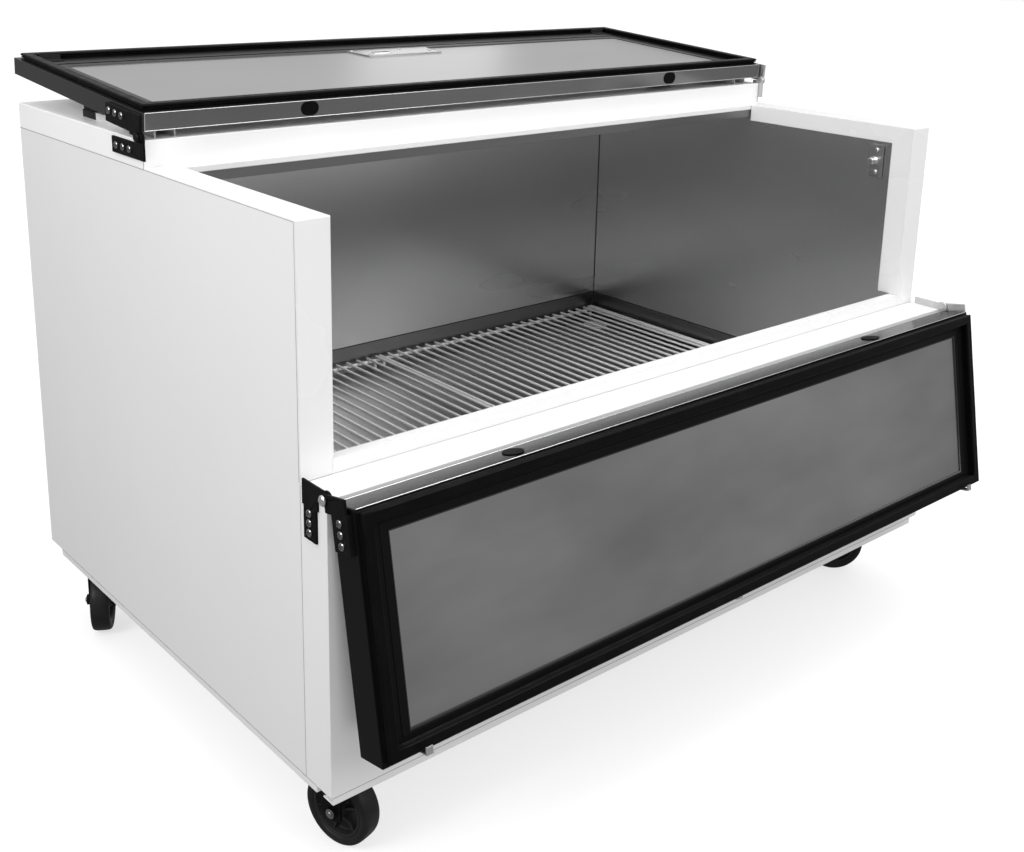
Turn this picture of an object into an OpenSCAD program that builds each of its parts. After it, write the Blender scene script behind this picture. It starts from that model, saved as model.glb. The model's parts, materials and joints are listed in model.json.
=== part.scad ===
// School milk cooler: a chest on four casters with a flip-back lid and a
// drop-front door. Drawn with the lid folded back and the door hanging open.
// X runs across the front (left to right), -Y is the front, +Z is up, z = 0 is the floor.

/* [Cabinet] */
// Width of the cabinet across the front
cab_w = 1245; // [1200:5:1300]
// Depth of the upper cabinet, from the wall fronts to the back
cab_d = 798; // [790:1:830]
// Height of the cabinet floor above the ground
base_z = 125; // [125:1:135]
// Height of the ledge the door stands on
ledge_z = 513; // [505:1:520]
// Height of the wall tops
wall_z = 822; // [815:1:830]
// Height of the rear deck above the wall tops
deck_h = 36; // [36:1:40]
// How far the lower front stands out in front of the wall fronts
ledge_d = 56; // [56:1:60]
// Thickness of the insulated side walls
wall_t = 44; // [40:1:48]
// Outer sheet thickness
skin = 2; // [1.5:0.5:2]

/* [Opening] */
// Where the lid opening ends, behind the wall fronts
lip_y = 346; // [340:1:350]
// Where the face of the rear deck stands, behind the wall fronts
deck_y = 369; // [366:1:375]
// Width of the white frame turned onto the inner walls at the front
lip_w = 39; // [30:1:42]
// Depth of the white frame turned down inside the wall tops
lip_h = 29; // [24:1:32]
// Depth of the white frame turned down under the rear deck
rear_lip_h = 8; // [6:1:12]
// Height of the sill curb above the ledge
curb_h = 19; // [16:1:22]

/* [Interior] */
// Height of the interior floor
floor_z = 318; // [315:1:325]
// Height of the seam between floor pan and walls
seam_z = 366; // [355:1:370]
// Where the inner back wall stands
liner_y = 746; // [740:1:750]
// Height of the interior ceiling under the rear deck
ceil_z = 800; // [798:1:804]

/* [Racks] */
// Wires between the side bars of one rack
rack_wires = 24; // [16:1:26]
// Wire diameter
wire_d = 4.6; // [4:0.2:5]

/* [Lid and door] */
// Depth of the lid from hinge edge to free edge
lid_d = 436; // [430:1:440]
// Thickness of the lid without its gasket
lid_t = 24.5; // [24:0.5:25]
// Height of the lid gasket
lid_gasket_h = 10; // [9:0.5:10]
// Slope of the folded-back lid, degrees
lid_tilt = 4.2; // [4:0.1:5]
// Height of the door from hinge edge to free edge
door_h = 300; // [290:1:300]
// Thickness of the door without its gasket
door_t = 44; // [42:0.5:44]
// Height of the door gasket
door_gasket_h = 11; // [10:0.5:11]
// How far the open door leans out from hanging straight, degrees
door_tilt = 10.3; // [8:0.1:12]

/* [Casters] */
// Wheel diameter
wheel_d = 102; // [96:1:102]
// Wheel width
wheel_w = 30; // [26:1:30]
// Distance from the swivel axis to the axle
trail = 30; // [26:1:32]

/* [Hidden] */
$fn = 48;
e = 0.01;

hw = cab_w / 2;                 // half width
ix = hw - wall_t;               // inner face of the side walls
cap_z = wall_z + deck_h;        // top of the rear deck
curb_z = ledge_z + curb_h;      // top of the sill curb
comp_z = floor_z - 45;          // ceiling of the machine compartment
y_front = -ledge_d;

// lid hinge axis and the placement of the folded-back lid
lid_py = deck_y - 1;
lid_pz = cap_z + 5;
lid_cy = 2;                     // lid corner from the axis, along the lid
lid_cz = 6;                     // lid corner from the axis, across the lid

// door hinge axis and the placement of the hanging door
door_py = y_front - 4;
door_pz = ledge_z + 3.4;
door_cy = 4;
door_cz = 4.6;
door_rot = 180 - door_tilt;

// the whole object is shifted so that its bounding box is centred in y:
// from the hooks on the hanging door to the free edge of the folded-back lid
hook_v = 20;                    // how far the hooks stand out of the door's rim
hook_u = 4;                     // where they stand, down from the free edge
door_tip = door_py - (door_cy + door_t + hook_v) * cos(door_tilt)
                   - (door_cz + door_h - hook_u) * sin(door_tilt);
lid_tip = lid_py + (lid_cy + lid_d) * cos(lid_tilt) - lid_cz * sin(lid_tilt);
y_shift = -(max(cab_d + 2.4, lid_tip) + door_tip) / 2;
end_gap = 0.5;                  // lid and door ends stand in from the hinge leaves

module place() { translate([0, y_shift, 0]) children(); }
module lid_frame_of() {
  place() translate([0, lid_py, lid_pz]) rotate([lid_tilt, 0, 0]) translate([0, lid_cy, lid_cz]) children();
}
module door_frame_of() {
  place() translate([0, door_py, door_pz]) rotate([door_rot, 0, 0]) translate([0, door_cy, door_cz]) children();
}
// box from two opposite corners
module bx(a, b) { translate([min(a[0],b[0]), min(a[1],b[1]), min(a[2],b[2])])
  cube([abs(b[0]-a[0]), abs(b[1]-a[1]), abs(b[2]-a[2])]); }
// the same shape on both sides
module both() { children(); mirror([1, 0, 0]) children(); }
module rod(p, len, d, ax) {
  translate(p) rotate(ax == "x" ? [0, 90, 0] : ax == "y" ? [-90, 0, 0] : [0, 0, 0]) cylinder(d = d, h = len);
}
// domed cross-slot screw head, base on z = 0, dome up
module screw_head(d = 9, h = 3) {
  difference() {
    rotate_extrude() polygon(concat([[0, 0], [d/2, 0], [d/2, h*0.25]],
      [for (a = [15:15:90]) [d/2 * cos(a) , h*0.25 + h*0.75 * sin(a)]]));
    translate([-d*0.3, -d*0.06, h*0.55]) cube([d*0.6, d*0.12, h]);
    translate([-d*0.06, -d*0.3, h*0.55]) cube([d*0.12, d*0.6, h]);
  }
}
module obround(w, h) {
  translate([-(w-h)/2, 0]) circle(d = h);
  translate([(w-h)/2, 0]) circle(d = h);
  square([w-h, h], center = true);
}
// rectangle with rounded corners, exact
module rrect(x0, y0, x1, y1, r) {
  translate([x0+r, y0]) square([x1-x0-2*r, y1-y0]);
  translate([x0, y0+r]) square([x1-x0, y1-y0-2*r]);
  for (p = [[x0+r, y0+r], [x1-r, y0+r], [x0+r, y1-r], [x1-r, y1-r]]) translate(p) circle(r = r);
}

// ---------------------------------------------------------------- cabinet shell
module side_panel(s) {
  x0 = s*hw; x1 = s*(hw-skin);
  bx([x0, skin, base_z], [x1, cab_d, wall_z-skin]);
  bx([x0, 0, base_z], [x1, skin+e, ledge_z]);
}
module side_panel_left() color([0.93, 0.93, 0.93]) place() side_panel(-1);
module side_panel_right() color([0.93, 0.93, 0.93]) place() side_panel(1);

module front_panel() color([0.95, 0.95, 0.95]) place() {
  bx([-hw, y_front, base_z], [hw, y_front+skin, ledge_z]);
  for (s = [-1, 1]) bx([s*hw, y_front+skin-e, base_z], [s*(hw-skin), 0, ledge_z]);
  bx([-hw, y_front+skin-e, ledge_z-skin], [hw, 0, ledge_z]);
  // toe lip under the front, short of the right end
  bx([-hw+2.5, y_front, base_z-10], [hw-20, y_front+skin, base_z+e]);
  bx([-hw+2.5, y_front+skin-e, base_z-10], [hw-20, y_front+22, base_z-8.5]);
}

gx = 545; gz0 = base_z+9; gz1 = comp_z-7;
module back_panel() color([0.80, 0.81, 0.82]) place() difference() {
  bx([-hw+skin, cab_d-skin, base_z], [hw-skin, cab_d, wall_z-skin]);
  bx([-gx, cab_d-skin-1, gz0], [gx, cab_d+1, gz1]);
}
module rear_grille() color([0.75, 0.76, 0.77]) place() difference() {
  bx([-gx+0.5, cab_d-skin, gz0+0.5], [gx-0.5, cab_d, gz1-0.5]);
  for (c = [-420:105:420], r = [0:1:7])
    bx([c-42, cab_d-skin-1, gz0+14+r*14], [c+42, cab_d+1, gz0+20+r*14]);
  rod([gx-45, cab_d-skin-1, gz0+14], skin+2, 22, "y");
}

module rear_cap() color([0.96, 0.96, 0.96]) place() {
  difference() {
    bx([-hw, deck_y, wall_z-skin], [hw, cab_d, cap_z]);
    bx([-hw+skin, deck_y+skin, wall_z-skin-1], [hw-skin, cab_d-skin, cap_z-skin]);
  }
}

// pan under the unit, and a rail along each side under it
module base_frame() color([0.90, 0.90, 0.90]) place() {
  bx([-hw+skin, y_front+skin, base_z], [hw-skin, cab_d-skin, base_z+3]);
  for (s = [-1, 1]) bx([s*hw, -23, base_z-10], [s*(hw-18), 754, base_z-e]);
}

// ---------------------------------------------------------------- white breaker frames
module breaker_side(s) {
  bx([s*hw, 0, ledge_z], [s*ix, skin, wall_z]);
  bx([s*(ix+e), 0, curb_z], [s*(ix-skin), skin, wall_z]);
  bx([s*hw, 0, wall_z-skin], [s*ix, deck_y, wall_z]);
  bx([s*(ix+e), 0, wall_z-skin], [s*(ix-skin), lip_y, wall_z]);
  bx([s*ix, 0, curb_z], [s*(ix-skin), lip_w, wall_z]);
  bx([s*ix, 0, wall_z-lip_h], [s*(ix-skin), lip_y, wall_z]);
}
module breaker_sides() color([0.97, 0.97, 0.97]) place() { breaker_side(-1); breaker_side(1); }

module breaker_cross() color([0.97, 0.97, 0.97]) place() {
  // rear ledge in front of the deck face, with its turned-down lip
  bx([-ix, lip_y, wall_z-skin], [ix, deck_y, wall_z]);
  bx([-ix+skin, lip_y, wall_z-rear_lip_h], [ix-skin, lip_y+skin, wall_z]);
  // sill curb
  difference() {
    bx([-ix, 0, ledge_z], [ix, 14, curb_z]);
    bx([-ix-1, skin, ledge_z-1], [ix+1, 12, curb_z-skin]);
    bx([-ix-1, 12-e, ledge_z-1], [ix+1, 15, curb_z-skin]);
  }
  bx([-ix+skin, 14-skin, curb_z-skin], [ix-skin, 16, curb_z]);
  bx([-ix+skin, 14, curb_z-24], [ix-skin, 16, curb_z]);
}

// ---------------------------------------------------------------- stainless interior
module liner_sides() color([0.62, 0.63, 0.64]) place() both()
  bx([-ix-skin, 14, floor_z], [-ix, liner_y, wall_z-skin]);
module liner_back() color([0.60, 0.61, 0.62]) place()
  bx([-ix-skin, liner_y, floor_z], [ix+skin, liner_y+skin, ceil_z+skin]);
module liner_ceiling() color([0.60, 0.61, 0.62]) place() {
  bx([-ix, lip_y+skin, ceil_z], [ix, liner_y, ceil_z+skin]);
  bx([-ix, lip_y+skin, ceil_z+skin-e], [ix, lip_y+2*skin, wall_z-skin]);
}
module floor_pan() color([0.64, 0.65, 0.66]) place() {
  g = 0.02;
  difference() {
    bx([-ix-skin, 12, floor_z-skin], [ix+skin, liner_y+skin, floor_z]);
    rod([ix-60, liner_y-70, floor_z-skin-1], skin+2, 34, "z");
  }
  both() bx([-ix, 16, floor_z+g], [-ix+1.5, liner_y-1.5, seam_z]);
  bx([-ix+1.5+g, liner_y-1.5, floor_z+g], [ix-1.5-g, liner_y, seam_z]);
  bx([-ix-skin, 12, floor_z+g], [ix+skin, 14-g, curb_z-skin]);
}
module floor_drain() color([0.85, 0.85, 0.84]) place() translate([ix-60, liner_y-70, 0]) {
  difference() {
    union() {
      translate([0, 0, floor_z]) cylinder(d = 50, h = 2);
      translate([0, 0, floor_z-14]) cylinder(d = 34, h = 14+e);
    }
    translate([0, 0, floor_z-15]) cylinder(d = 28, h = 14);
    for (a = [0:60:300]) rotate([0, 0, a]) translate([8, 0, floor_z-2]) cylinder(d = 5, h = 6);
    translate([0, 0, floor_z-2]) cylinder(d = 5, h = 6);
  }
  difference() {
    translate([0, 0, comp_z-22]) cylinder(d = 22, h = floor_z-14-comp_z+22);
    translate([0, 0, comp_z-23]) cylinder(d = 18, h = floor_z-comp_z+12);
  }
}

// foamed-in-place insulation, one body
module cabinet_foam() color([0.93, 0.88, 0.62]) place() difference() {
  union() {
    bx([-hw+skin, y_front+skin, comp_z], [hw-skin, cab_d-skin, floor_z-skin]);
    bx([-hw+skin, y_front+skin, comp_z], [hw-skin, skin, ledge_z-skin]);
    bx([-ix, 0, comp_z], [ix, 12, curb_z-skin]);
    for (s = [-1, 1]) bx([s*(hw-skin), skin, comp_z], [s*(ix+skin), cab_d-skin, wall_z-skin]);
    bx([-hw+skin, liner_y+skin, comp_z], [hw-skin, cab_d-skin, wall_z-skin]);
    bx([-ix, lip_y+2*skin, ceil_z+skin], [ix, cab_d-skin, wall_z-skin]);
    bx([-hw+skin, deck_y+skin, wall_z-skin-e], [hw-skin, cab_d-skin, cap_z-skin]);
  }
  // interior space, curb skins, coil pocket and drain
  bx([-ix-skin, 12, floor_z-skin], [ix+skin, liner_y+skin, ceil_z+skin]);
  bx([-ix-skin, 2, ceil_z], [ix+skin, lip_y+skin, cap_z]);
  bx([-ix, lip_y, ceil_z], [ix, lip_y+2*skin, cap_z]);
  bx([-ix, -e, ledge_z-skin], [ix, skin, curb_z]);
  bx([-560, liner_y+skin-e, 385], [560, liner_y+skin+9, 765]);
  bx([-506, liner_y+skin-e, comp_z-1], [-494, liner_y+skin+9, 400]);
  bx([-552, liner_y+skin-e, comp_z-1], [-540, liner_y+skin+9, 400]);
  rod([ix-60, liner_y-70, comp_z-1], 60, 34.2, "z");
}

// a bent tube along points that follow the axes, with bends of radius r
function unit(v) = v/norm(v);
module bend(p, a, b, r, d, angle = 90) {
  // a is the way in, b the way out, p the corner
  c = p-r*a+r*b; z = cross(a, b);
  multmatrix([[-b[0], a[0], z[0], c[0]], [-b[1], a[1], z[1], c[1]], [-b[2], a[2], z[2], c[2]], [0, 0, 0, 1]])
    rotate_extrude(angle = angle) translate([r, 0]) circle(d = d);
}
module tube_path(pts, d, r) {
  g = 0.01;
  n = len(pts);
  for (i = [0:n-2]) {
    v = unit(pts[i+1]-pts[i]);
    p = pts[i] + (i > 0 ? (r+g)*v : [0, 0, 0]);
    q = pts[i+1] - (i < n-2 ? (r+g)*v : [0, 0, 0]);
    s = [min(p[0], q[0]), min(p[1], q[1]), min(p[2], q[2])];
    rod(s, norm(q-p), d, abs(v[0]) > 0.5 ? "x" : abs(v[1]) > 0.5 ? "y" : "z");
  }
  for (i = [1:1:n-2]) bend(pts[i], unit(pts[i]-pts[i-1]), unit(pts[i+1]-pts[i]), r, d);
}

// serpentine cooling tube against the back of the inner wall
coil_y = 752.2; coil_z0 = 400; coil_n = 8; coil_p = 48; coil_x = 500; coil_d = 8;
module evaporator_coil() color([0.72, 0.45, 0.28]) place() translate([0, coil_y, 0]) {
  zt = coil_z0+(coil_n-1)*coil_p; r = coil_p/2;
  for (i = [1:coil_n-2]) rod([-coil_x+e, 0, coil_z0+i*coil_p], 2*coil_x-2*e, coil_d, "x");
  for (i = [0:coil_n-2]) { s = i % 2 == 0 ? 1 : -1;
    bend([s*(coil_x+r), 0, coil_z0+i*coil_p], [s, 0, 0], [0, 0, 1], r, coil_d, 180); }
  // both ends go down into the machine compartment
  tube_path([[coil_x-e, 0, coil_z0], [-coil_x, 0, coil_z0], [-coil_x, 0, comp_z-14]], coil_d, 14);
  tube_path([[coil_x-e, 0, zt], [-coil_x-46, 0, zt], [-coil_x-46, 0, comp_z-14]], coil_d, 14);
}

// plates with a round stud on the inner side walls near the front
sp_y = 65; sp_z = 759;
module strike() {
  x0 = -ix+skin;
  difference() {
    bx([x0, sp_y-12, sp_z-28], [x0+2.5, sp_y+12, sp_z+28]);
    for (d = [-19, 19]) rod([x0-1, sp_y, sp_z+d], 5, 4.2, "x");
  }
  translate([x0+2.5-e, sp_y+4, sp_z]) rotate([0, 90, 0]) rotate_extrude()
    polygon([[0, 0], [7, 0], [7, 1.5], [4, 2.5], [4, 8], [6, 9], [6, 11], [4.5, 12], [0, 12]]);
  for (d = [-19, 19]) translate([x0+2.5, sp_y, sp_z+d]) rotate([0, 90, 0]) screw_head(8, 2.6);
}
module strike_plates() color([0.75, 0.76, 0.77]) place() both() strike();

// rails on the deck with rubber blocks that the folded-back lid lies on
module lid_rest() color([0.45, 0.46, 0.47]) place() both() {
  difference() {
    bx([-hw+24, 384, cap_z], [-hw+54, 612, cap_z+10.6]);
    bx([-hw+26, 380, cap_z-1], [-hw+52, 616, cap_z+8.6]);
  }
  bx([-hw+26, 568, cap_z+10.6-e], [-hw+52, 612, cap_z+25.2]);
}

// ---------------------------------------------------------------- hinges
pin_d = 8;
leaf_t = 3;
module lid_base_leaf() {
  difference() {
    union() {
      bx([-hw-leaf_t, deck_y+1, wall_z+10], [-hw, 456, cap_z-4]);
      translate([-hw-leaf_t, lid_py, lid_pz]) rotate([0, 90, 0]) cylinder(d = 15, h = leaf_t);
      bx([-hw-leaf_t, lid_py-7.5, wall_z+10], [-hw, deck_y+14, lid_pz]);
    }
    rod([-hw-leaf_t-1, lid_py, lid_pz], leaf_t+2, pin_d, "x");
    for (y = [402, 422, 442]) rod([-hw-leaf_t-1, y, wall_z+21], leaf_t+2, 5.2, "x");
  }
}
module door_base_leaf() {
  difference() {
    union() {
      bx([-hw-leaf_t, -37, ledge_z-61], [-hw, -11, ledge_z-20]);
      bx([-hw-leaf_t, -40, ledge_z-20-e], [-hw, -8, ledge_z+11]);
      translate([-hw-leaf_t, door_py, door_pz]) rotate([0, 90, 0]) cylinder(d = 20, h = leaf_t);
      bx([-hw-leaf_t, door_py, door_pz-10], [-hw, -39, door_pz+7.6]);
    }
    rod([-hw-leaf_t-1, door_py, door_pz], leaf_t+2, pin_d, "x");
    for (z = [27, 39, 51]) rod([-hw-leaf_t-1, -24, ledge_z-z], leaf_t+2, 5.2, "x");
  }
}
module hinge_bases() color([0.10, 0.10, 0.11]) place() both() { lid_base_leaf(); door_base_leaf(); }

module pin_at(y, z) {
  rod([-hw-8, y, z], 8, pin_d, "x");
  translate([-hw-8+e, y, z]) rotate([0, -90, 0]) rotate_extrude()
    polygon([[0, 0], [6.5, 0], [6.5, 1.2], [5, 2.6], [0, 3]]);
}
module hinge_pins() color([0.80, 0.80, 0.80]) place() both() {
  pin_at(lid_py, lid_pz);
  pin_at(door_py, door_pz);
}

// screws and bolts fixed to the cabinet
module cabinet_screws() color([0.70, 0.70, 0.70]) place() {
  both() {
    for (y = [402, 422, 442]) translate([-hw-leaf_t, y, wall_z+21]) rotate([0, -90, 0]) screw_head(10, 3);
    for (z = [27, 39, 51]) translate([-hw-leaf_t, -24, ledge_z-z]) rotate([0, -90, 0]) screw_head(10, 3);
  }
  for (x = [-gx+12, -180, 180, gx-12], z = [gz0+7, gz1-7])
    translate([x, cab_d, z]) rotate([-90, 0, 0]) screw_head(8, 2.4);
}

// ---------------------------------------------------------------- refrigeration unit
module compressor() color([0.12, 0.12, 0.13]) place() translate([-150, 660, base_z+3]) {
  for (a = [45:90:315]) rotate([0, 0, a]) translate([88, 0, 0]) cylinder(d = 22, h = 14);
  difference() {
    translate([0, 0, 14-e]) rotate([0, 0, 45]) union() {
      for (a = [0, 90]) rotate([0, 0, a]) bx([-98, -13, 0], [98, 13, 3]);
    }
  }
  translate([0, 0, 17-2*e]) rotate_extrude()
    polygon(concat([[0, 0], [60, 0]], [for (a = [-60:15:0]) [54+26*cos(a), 24+26*sin(a)]],
      [[80, 50], [83, 50], [83, 55], [80, 55]], [for (a = [0:15:90]) [44+36*cos(a), 76+36*sin(a)]], [[0, 112]]));
  bx([70, -24, 40], [104, 24, 92]);
}
cd_y0 = 742; cd_y1 = 786; cd_x0 = 40; cd_x1 = 400; cd_z0 = base_z+6; cd_z1 = comp_z-12;
cd_tz = [for (z = [cd_z0+14:24:cd_z1-12]) z];
// a plate across the tubes of the finned block
module fin(x, t, a0, a1, b0, b1) translate([x, 0, 0]) rotate([90, 0, 90]) linear_extrude(t) difference() {
  translate([a0, b0]) square([a1-a0, b1-b0]);
  for (y = [cd_y0+11, cd_y1-11], z = cd_tz) translate([y, z]) circle(d = 8.04);
}
module condenser() color([0.30, 0.31, 0.32]) place() {
  fin(cd_x0-2, 2, cd_y0-2, cd_y1+2, cd_z0-3, cd_z1);
  fin(cd_x1, 2, cd_y0-2, cd_y1+2, cd_z0-3, cd_z1);
  for (i = [1:1:23]) fin(cd_x0+i*15-0.6, 1.2, cd_y0, cd_y1, cd_z0+2, cd_z1-3);
  for (y = [cd_y0+11, cd_y1-11], z = cd_tz) rod([cd_x0-8, y, z], cd_x1-cd_x0+16, 8, "x");
  bx([cd_x0+e, cd_y0-2, cd_z0-3], [cd_x1-e, cd_y1+2, cd_z0-1.5]);
  // fan shroud with a round mouth
  translate([0, 728, 0]) rotate([90, 0, 0]) linear_extrude(2) difference() {
    translate([cd_x0, cd_z0-3]) square([cd_x1-cd_x0, cd_z1-cd_z0+3]);
    translate([220, (cd_z0+cd_z1)/2]) circle(d = 118);
  }
  for (x = [cd_x0, cd_x1-2]) bx([x, 728+e, cd_z0-3], [x+2, 740-e, cd_z1]);
}
fan_x = 220; fan_y = 708; fan_z = (base_z+6+comp_z-12)/2;
module fan_motor() color([0.15, 0.15, 0.16]) place() {
  translate([fan_x, 0, fan_z]) {
    rod([0, 640, 0], 46, 62, "y");
    rod([0, 686-e, 0], 6, 40, "y");
    rod([0, 690, 0], 30, 5, "y");
    for (s = [-1, 1]) bx([s*26, 655, -fan_z+base_z+3], [s*60, 671, -fan_z+base_z+5]);
    for (s = [-1, 1]) bx([s*26, 655, -fan_z+base_z+3], [s*29, 671, -8]);
  }
}
module fan_blades() color([0.55, 0.56, 0.57]) place() translate([fan_x, fan_y, fan_z]) rotate([-90, 0, 0]) {
  difference() {
    cylinder(d = 26, h = 14, center = true);
    cylinder(d = 5.1, h = 20, center = true);
  }
  for (a = [0:72:288]) rotate([0, 0, a]) translate([12, 0, 0]) rotate([26, 0, 0])
    linear_extrude(1.6, center = true) polygon([[-1, -7], [18, -13], [40, -15], [41, 4], [36, 14], [18, 12], [-1, 7]]);
}
module refrigerant_lines() color([0.72, 0.45, 0.28]) place() {
  // discharge: compressor to condenser
  tube_path([[-150, 579.8, 169], [-150, 558, 169], [15, 558, 169], [15, 558, 217], [15, 753, 217], [31.9, 753, 217]], 7, 12);
  // liquid line to the cold wall, with its drier
  tube_path([[408.1, 753, 169], [430, 753, 169], [430, 568, 169], [430, 568, 240], [212, 568, 240]], 6, 12);
  tube_path([[118, 568, 240], [-420, 568, 240], [-420, coil_y, 240], [-coil_x, coil_y, 240], [-coil_x, coil_y, comp_z-14.02]], 6, 12);
  rod([120, 568, 240], 90, 22, "x");
  // suction line
  tube_path([[-230.1, 660, 176], [-300, 660, 176], [-300, 660, 222], [-coil_x-46, 660, 222],
    [-coil_x-46, coil_y, 222], [-coil_x-46, coil_y, comp_z-14.02]], 9, 14);
}
module cord_gland() color([0.08, 0.08, 0.08]) place() translate([gx-45, 0, gz0+14]) {
  difference() {
    union() {
      rod([0, cab_d-10, 0], 10, 21.6, "y");
      rod([0, cab_d-skin-4, 0], 4, 30, "y");
    }
    rod([0, cab_d-11, 0], 14, 10, "y");
  }
}

// ---------------------------------------------------------------- casters
cx = hw-52; cyf = 40; cyr = 714;
axle_z = wheel_d/2;
// [x, y, direction of the trail]
C_FL = [-cx, cyf, -75];
C_FR = [cx, cyf, 135];
C_RL = [-cx, cyr, -120];
C_RR = [cx, cyr, 70];
module caster_plates() color([0.12, 0.12, 0.12]) place()
  for (c = [C_FL, C_FR, C_RL, C_RR]) translate([c[0], c[1], 0]) {
    difference() {
      bx([-33, -42, base_z-4], [33, 42, base_z]);
      for (x = [-24, 24], y = [-32, 32]) rod([x, y, base_z-5], 6, 8.5, "z");
    }
    translate([0, 0, base_z-12]) rotate_extrude()
      polygon([[0, 0], [20, 0], [25, 3], [25, 8+e], [0, 8+e]]);
    rod([0, 0, base_z-22], 12, 12, "z");
    rod([0, 0, base_z-23.4], 2, 19, "z");
    for (x = [-24, 24], y = [-32, 32]) translate([x, y, base_z-4]) {
      translate([0, 0, -5]) cylinder(d = 13, h = 5, $fn = 6);
      cylinder(d = 8, h = 4);
    }
  }
module fork(c) color([0.13, 0.13, 0.14]) place() translate([c[0], c[1], 0]) rotate([0, 0, c[2]]) {
  lx = 20;
  difference() {
    union() {
      translate([0, 0, base_z-20]) cylinder(d = 47, h = 7.4);
      bx([0, -lx, base_z-20], [trail+8, lx, base_z-16.5]);
    }
    translate([0, 0, base_z-24]) cylinder(d = 12.1, h = 14);
    translate([0, 0, base_z-24]) cylinder(d = 20, h = 4.6);
  }
  for (s = [-1, 1]) difference() {
    translate([0, s*lx, 0]) rotate([90, 0, 0]) translate([0, 0, s > 0 ? 0 : -3]) linear_extrude(3)
      polygon([[-12, base_z-20+e], [-12, base_z-30], [trail-13, axle_z-10], [trail-6, axle_z-13], [trail+6, axle_z-13],
        [trail+13, axle_z-8], [trail+14, base_z-30], [trail+8, base_z-20+e]]);
    rod([trail, -30, axle_z], 60, 10, "y");
  }
  // axle bolt with its nuts
  rod([trail, -lx, axle_z], 2*lx, 10, "y");
  for (s = [-1, 1]) translate([trail, s*(lx+2.5), axle_z]) rotate([90, 0, 0])
    cylinder(d = 17, h = 5, center = true, $fn = 6);
}
module caster_fork_fl() fork(C_FL);
module caster_fork_fr() fork(C_FR);
module caster_fork_rl() fork(C_RL);
module caster_fork_rr() fork(C_RR);
module wheel(c) color([0.07, 0.07, 0.07]) place() translate([c[0], c[1], 0]) rotate([0, 0, c[2]])
  translate([trail, 0, axle_z]) rotate([90, 0, 0]) rotate_extrude($fn = 96) {
    r = wheel_d/2; w = wheel_w/2;
    polygon([[5.05, -w-1], [12, -w-1], [13, -w+5], [32, -w+6], [37, -w+0.5], [r-3, -w], [r, -w+3], [r, w-3],
      [r-3, w], [37, w-0.5], [32, w-6], [13, w-5], [12, w+1], [5.05, w+1]]);
  }
module caster_wheel_fl() wheel(C_FL);
module caster_wheel_fr() wheel(C_FR);
module caster_wheel_rl() wheel(C_RL);
module caster_wheel_rr() wheel(C_RR);

// ---------------------------------------------------------------- wire racks
rk_z = 338; rk_y0 = 28; rk_y1 = 738; rk_x0 = 2; rk_x1 = 566;
// bars below, wires on them with rounded ends behind the rear bar, and short feet
module rack() {
  step = (rk_x1-rk_x0)/(rack_wires+1);
  for (i = [1:rack_wires]) translate([rk_x0+i*step, 0, 0]) {
    rod([0, rk_y0, rk_z], rk_y1-rk_y0, wire_d, "y");
    for (y = [rk_y0, rk_y1]) translate([0, y, rk_z]) sphere(d = wire_d);
  }
  zb = rk_z-wire_d/2-3-e;
  for (y = [rk_y0+6, 262, rk_y1-6]) rod([rk_x0, y, zb], rk_x1-rk_x0, 6, "x");
  for (x = [rk_x0+2.5, rk_x1-10, rk_x1-2.5]) rod([x, rk_y0, zb+3+2.5+e], rk_y1-rk_y0, 5, "y");
  for (x = [rk_x0+8, rk_x1-8], y = [rk_y0+6, 262, rk_y1-6]) rod([x, y, floor_z+0.4], zb-3-floor_z-0.4-e, 5, "z");
}
module rack_left() color([0.93, 0.93, 0.92]) place() mirror([1, 0, 0]) rack();
module rack_right() color([0.93, 0.93, 0.92]) place() rack();

// ---------------------------------------------------------------- lid, in its own frame
// y = along the lid from the hinge edge, z = from the outer skin to the inner side
L_x = hw-end_gap; L_in = 45; L_u0 = 55; L_u1 = 350;
plug_x = 371;
module lid_skin() color([0.68, 0.69, 0.70]) lid_frame_of() {
  bx([-L_x+3, 1.5, 0], [L_x-3, lid_d-3, 1.5]);
}
module lid_rail() color([0.78, 0.79, 0.80]) lid_frame_of() difference() {
  union() {
    bx([-L_x+3, 0, 0], [L_x-3, 1.5, lid_t]);
    bx([-L_x+3, 1.5-e, lid_t-1.5], [L_x-3, 6, lid_t]);
  }
  for (s = [-1, 1]) translate([s*plug_x, 3, 13]) rotate([90, 0, 0]) linear_extrude(4) obround(26, 18);
}
module lid_plugs() color([0.06, 0.06, 0.06]) lid_frame_of() for (s = [-1, 1]) translate([s*plug_x, 0, 13]) rotate([90, 0, 0]) {
  translate([0, 0, -8]) linear_extrude(8) obround(25.8, 17.8);
  linear_extrude(1.2) obround(28, 20);
}
module lid_frame() color([0.10, 0.10, 0.11]) lid_frame_of() {
  // black end caps, free-edge moulding and the frame round the inner panel
  for (s = [-1, 1]) bx([s*L_x, 0, 0], [s*(L_x-3), lid_d, lid_t]);
  bx([-L_x+3-e, lid_d-3, 0], [L_x-3+e, lid_d, lid_t]);
  difference() {
    bx([-L_x+3-e, 1.5, 20], [L_x-3+e, lid_d-3+e, lid_t]);
    bx([-L_x+L_in, L_u0, 19], [L_x-L_in, L_u1, lid_t+1]);
    bx([-L_x+3, 0, lid_t-1.5], [L_x-3, 6, lid_t+1]);
    for (s = [-1, 1]) translate([s*plug_x, 8, 13]) rotate([90, 0, 0]) linear_extrude(9) obround(25.9, 17.9);
  }
}
module lid_panel() color([0.80, 0.81, 0.81]) lid_frame_of()
  bx([-L_x+L_in, L_u0, 20], [L_x-L_in, L_u1, 22]);
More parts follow.
